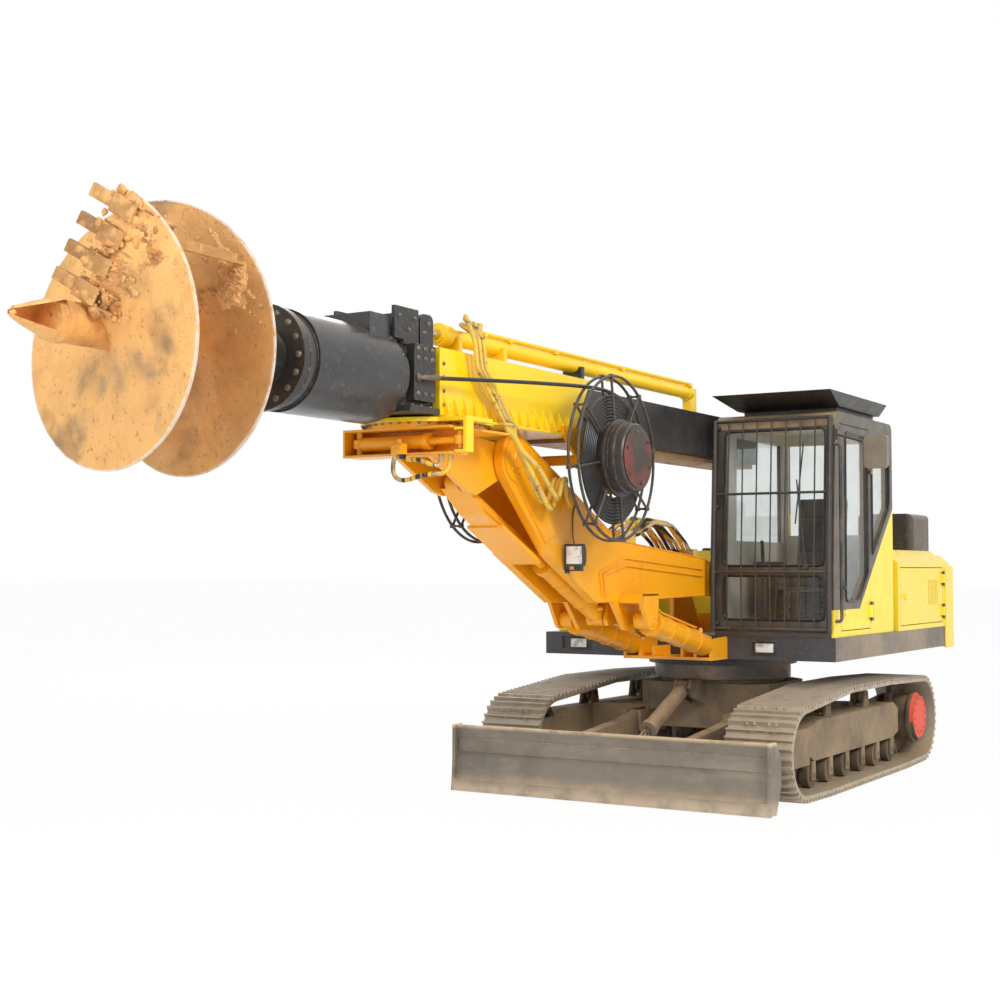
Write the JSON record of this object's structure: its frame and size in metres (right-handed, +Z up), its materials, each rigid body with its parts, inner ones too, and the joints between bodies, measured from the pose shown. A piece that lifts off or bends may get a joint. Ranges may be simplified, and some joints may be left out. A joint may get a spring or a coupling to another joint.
{
  "type": "rotary piling rig",
  "caption": "Crawler piling rig with a cab, dozer blade, folding boom, telescopic mast, drill drive and auger, parked with the mast level.",
  "frame": {"origin": "on the ground under the centre of the slew ring", "axes": "+X forward over the blade to the auger, +Y to the left (cab side), +Z up"},
  "size_m": [10.19, 2.906, 3.4002],
  "materials": {
    "dusty_taupe": "worn paint under tan dust",
    "machined_steel": "machined, greasy",
    "shoe_steel": "rolled steel polished on the bars, dusty between",
    "red_paint": "red paint, dusty",
    "dusty_steel": "cast, dusty",
    "blade_steel": "scuffed steel with a tan top edge",
    "rod_chrome": "hard chrome",
    "skirt_grey": "dark grey satin",
    "boom_yellow": "orange-yellow gloss, dusty",
    "cover_yellow": "yellow gloss",
    "mast_yellow": "bright yellow gloss",
    "engine_grey": "cast",
    "satin_black": "satin",
    "cab_brown": "dark brown-grey satin",
    "guard_grey": "dark grey satin",
    "window_glass": "clear, light tint",
    "seat_cloth": "woven",
    "console_plastic": "matt",
    "rail_bronze": "worn bronze",
    "reel_black": "satin, edges worn to tan",
    "hose_rubber": "shiny hose",
    "hose_yellow": "hoses with yellow overspray",
    "drill_steel": "worn steel with earth on it"
  },
  "bodies": {
    "undercarriage": {"car_body": "dusty_taupe", "slew_ring": "machined_steel", "track_frame_left": "dusty_taupe", "track_frame_right": "dusty_taupe", "track_left": "shoe_steel", "track_right": "shoe_steel", "sprockets": "red_paint", "idlers": "dusty_steel", "track_rollers": "dusty_steel"},
    "blade_assembly": {"blade": "blade_steel", "blade_arms": "dusty_taupe"},
    "blade_cylinder": {"blade_barrel": "dusty_taupe"},
    "blade_cylinder_rod": {"blade_rod": "rod_chrome"},
    "upperworks": {"upper_frame": "skirt_grey", "lift_bracket": "boom_yellow", "boom_foot": "boom_yellow", "counterweight": "cover_yellow", "engine": "engine_grey", "engine_hood": "cover_yellow", "hinge_brackets": "skirt_grey", "deck_boxes": "cover_yellow", "roof_box": "satin_black", "cab_shell": "cab_brown", "cab_glass": "window_glass", "cab_guard": "guard_grey", "cab_visor": "guard_grey", "seat": "seat_cloth", "console": "console_plastic", "mirror_and_rail": "guard_grey"},
    "cab_door": {"cab_door": "cab_brown", "door_glass": "window_glass"},
    "engine_door_left": {"engine_door_left": "cover_yellow"},
    "engine_door_right": {"engine_door_right": "cover_yellow"},
    "boom": {"boom": "boom_yellow", "boom_hoses": "hose_rubber"},
    "lift_cylinders": {"lift_barrels": "boom_yellow"},
    "lift_cylinder_rods": {"lift_rods": "rod_chrome"},
    "tilt_cylinder": {"tilt_barrel": "boom_yellow"},
    "tilt_cylinder_rod": {"tilt_rod": "boom_yellow"},
    "cradle": {"cradle": "boom_yellow", "swing_hoses": "hose_rubber"},
    "swing_cylinder": {"swing_barrel": "boom_yellow"},
    "swing_cylinder_rod": {"swing_rod": "boom_yellow"},
    "mast": {"swing_plate": "mast_yellow", "sleeve": "mast_yellow", "outer_beam": "satin_black", "rear_rail": "rail_bronze", "top_cylinder": "mast_yellow", "mast_hoses": "hose_yellow", "reel_axle": "boom_yellow"},
    "reel_left": {"reel_left": "reel_black", "hose_pack_left": "hose_rubber"},
    "reel_right": {"reel_right": "reel_black", "hose_pack_right": "hose_rubber"},
    "telescope": {"sliding_arm": "satin_black", "drive_block": "satin_black", "drill_drive": "satin_black", "top_rod": "rod_chrome"},
    "drill": {"drive_flange": "drill_steel", "auger": "drill_steel"}
  },
  "joints": [
    {"name": "slew", "type": "hinge", "parent": "undercarriage", "child": "upperworks", "pos_m": [0, 0, 0.905], "axis": [0, 0, 1], "continuous": true},
    {"name": "blade_lift", "type": "hinge", "parent": "undercarriage", "child": "blade_assembly", "pos_m": [0.76, 0, 0.47], "axis": [0, -1, 0], "range_deg": [0, 15]},
    {"name": "blade_barrel", "type": "hinge", "parent": "undercarriage", "child": "blade_cylinder", "pos_m": [0.76, 0, 0.74], "axis": [0, -1, 0], "range_deg": [0, 14.41]},
    {"name": "blade_rod", "type": "slide", "parent": "blade_cylinder", "child": "blade_cylinder_rod", "axis": [0.9211, 0, -0.3893], "range_m": [-0.0728, 0]},
    {"name": "cab_door_hinge", "type": "hinge", "parent": "upperworks", "child": "cab_door", "pos_m": [-0.089, 1.25, 1.9], "axis": [0, 0, 1], "range_deg": [0, 85]},
    {"name": "engine_door_left_hinge", "type": "hinge", "parent": "upperworks", "child": "engine_door_left", "pos_m": [-2.124, 1.264, 1.4], "axis": [0, 0, 1], "range_deg": [0, 85]},
    {"name": "engine_door_right_hinge", "type": "hinge", "parent": "upperworks", "child": "engine_door_right", "pos_m": [-2.124, -1.264, 1.4], "axis": [0, 0, -1], "range_deg": [0, 85]},
    {"name": "boom_lift", "type": "hinge", "parent": "upperworks", "child": "boom", "pos_m": [0.38, 0, 1.56], "axis": [0, -1, 0], "range_deg": [0, 40]},
    {"name": "lift_barrel", "type": "hinge", "parent": "upperworks", "child": "lift_cylinders", "pos_m": [0.985, 0, 1.075], "axis": [0, -1, 0], "range_deg": [0, 46.62]},
    {"name": "lift_rod", "type": "slide", "parent": "lift_cylinders", "child": "lift_cylinder_rods", "axis": [0.9789, 0, 0.2045], "range_m": [0, 0.5145]},
    {"name": "mast_tilt", "type": "hinge", "parent": "boom", "child": "cradle", "pos_m": [3.7, 0, 2.36], "axis": [0, 1, 0], "range_deg": [0, 110]},
    {"name": "tilt_barrel", "type": "hinge", "parent": "boom", "child": "tilt_cylinder", "pos_m": [2.2, 0, 1.33], "axis": [0, -1, 0], "range_deg": [0, 6.2]},
    {"name": "tilt_rod", "type": "slide", "parent": "tilt_cylinder", "child": "tilt_cylinder_rod", "axis": [0.9078, 0, 0.4193], "range_m": [-0.6716, 0]},
    {"name": "mast_swing", "type": "hinge", "parent": "cradle", "child": "mast", "pos_m": [4.4, 0, 2.5], "axis": [0, 0, 1], "range_deg": [0, 6]},
    {"name": "swing_barrel", "type": "hinge", "parent": "cradle", "child": "swing_cylinder", "pos_m": [4.65, -0.31, 2.408], "axis": [0, 0, 1], "range_deg": [0, 3.57]},
    {"name": "swing_rod", "type": "slide", "parent": "swing_cylinder", "child": "swing_cylinder_rod", "axis": [0, 1, 0], "range_m": [0, 0.0272]},
    {"name": "mast_slide", "type": "slide", "parent": "mast", "child": "telescope", "axis": [1, 0, 0], "range_m": [0, 3.2]},
    {"name": "drill_spin", "type": "hinge", "parent": "telescope", "child": "drill", "pos_m": [5.9, 0, 2.76], "axis": [1, 0, 0], "continuous": true},
    {"name": "reel_left_spin", "type": "hinge", "parent": "mast", "child": "reel_left", "pos_m": [2.975, 0.55, 2.4], "axis": [0, 1, 0], "continuous": true},
    {"name": "reel_right_spin", "type": "hinge", "parent": "mast", "child": "reel_right", "pos_m": [2.975, -0.55, 2.4], "axis": [0, 1, 0], "continuous": true}
  ],
  "couplings": [
    {"joint": "blade_barrel", "follows": "blade_lift", "ratio": 0.92738},
    {"joint": "blade_rod", "follows": "blade_lift", "m_per_rad": -0.25887},
    {"joint": "lift_barrel", "follows": "boom_lift", "ratio": 1.1531},
    {"joint": "lift_rod", "follows": "boom_lift", "m_per_rad": 0.7298},
    {"joint": "tilt_barrel", "follows": "mast_tilt", "ratio": 0.051855},
    {"joint": "tilt_rod", "follows": "mast_tilt", "m_per_rad": -0.34719},
    {"joint": "swing_barrel", "follows": "mast_swing", "ratio": 0.56118},
    {"joint": "swing_rod", "follows": "mast_swing", "m_per_rad": 0.24074}
  ]
}
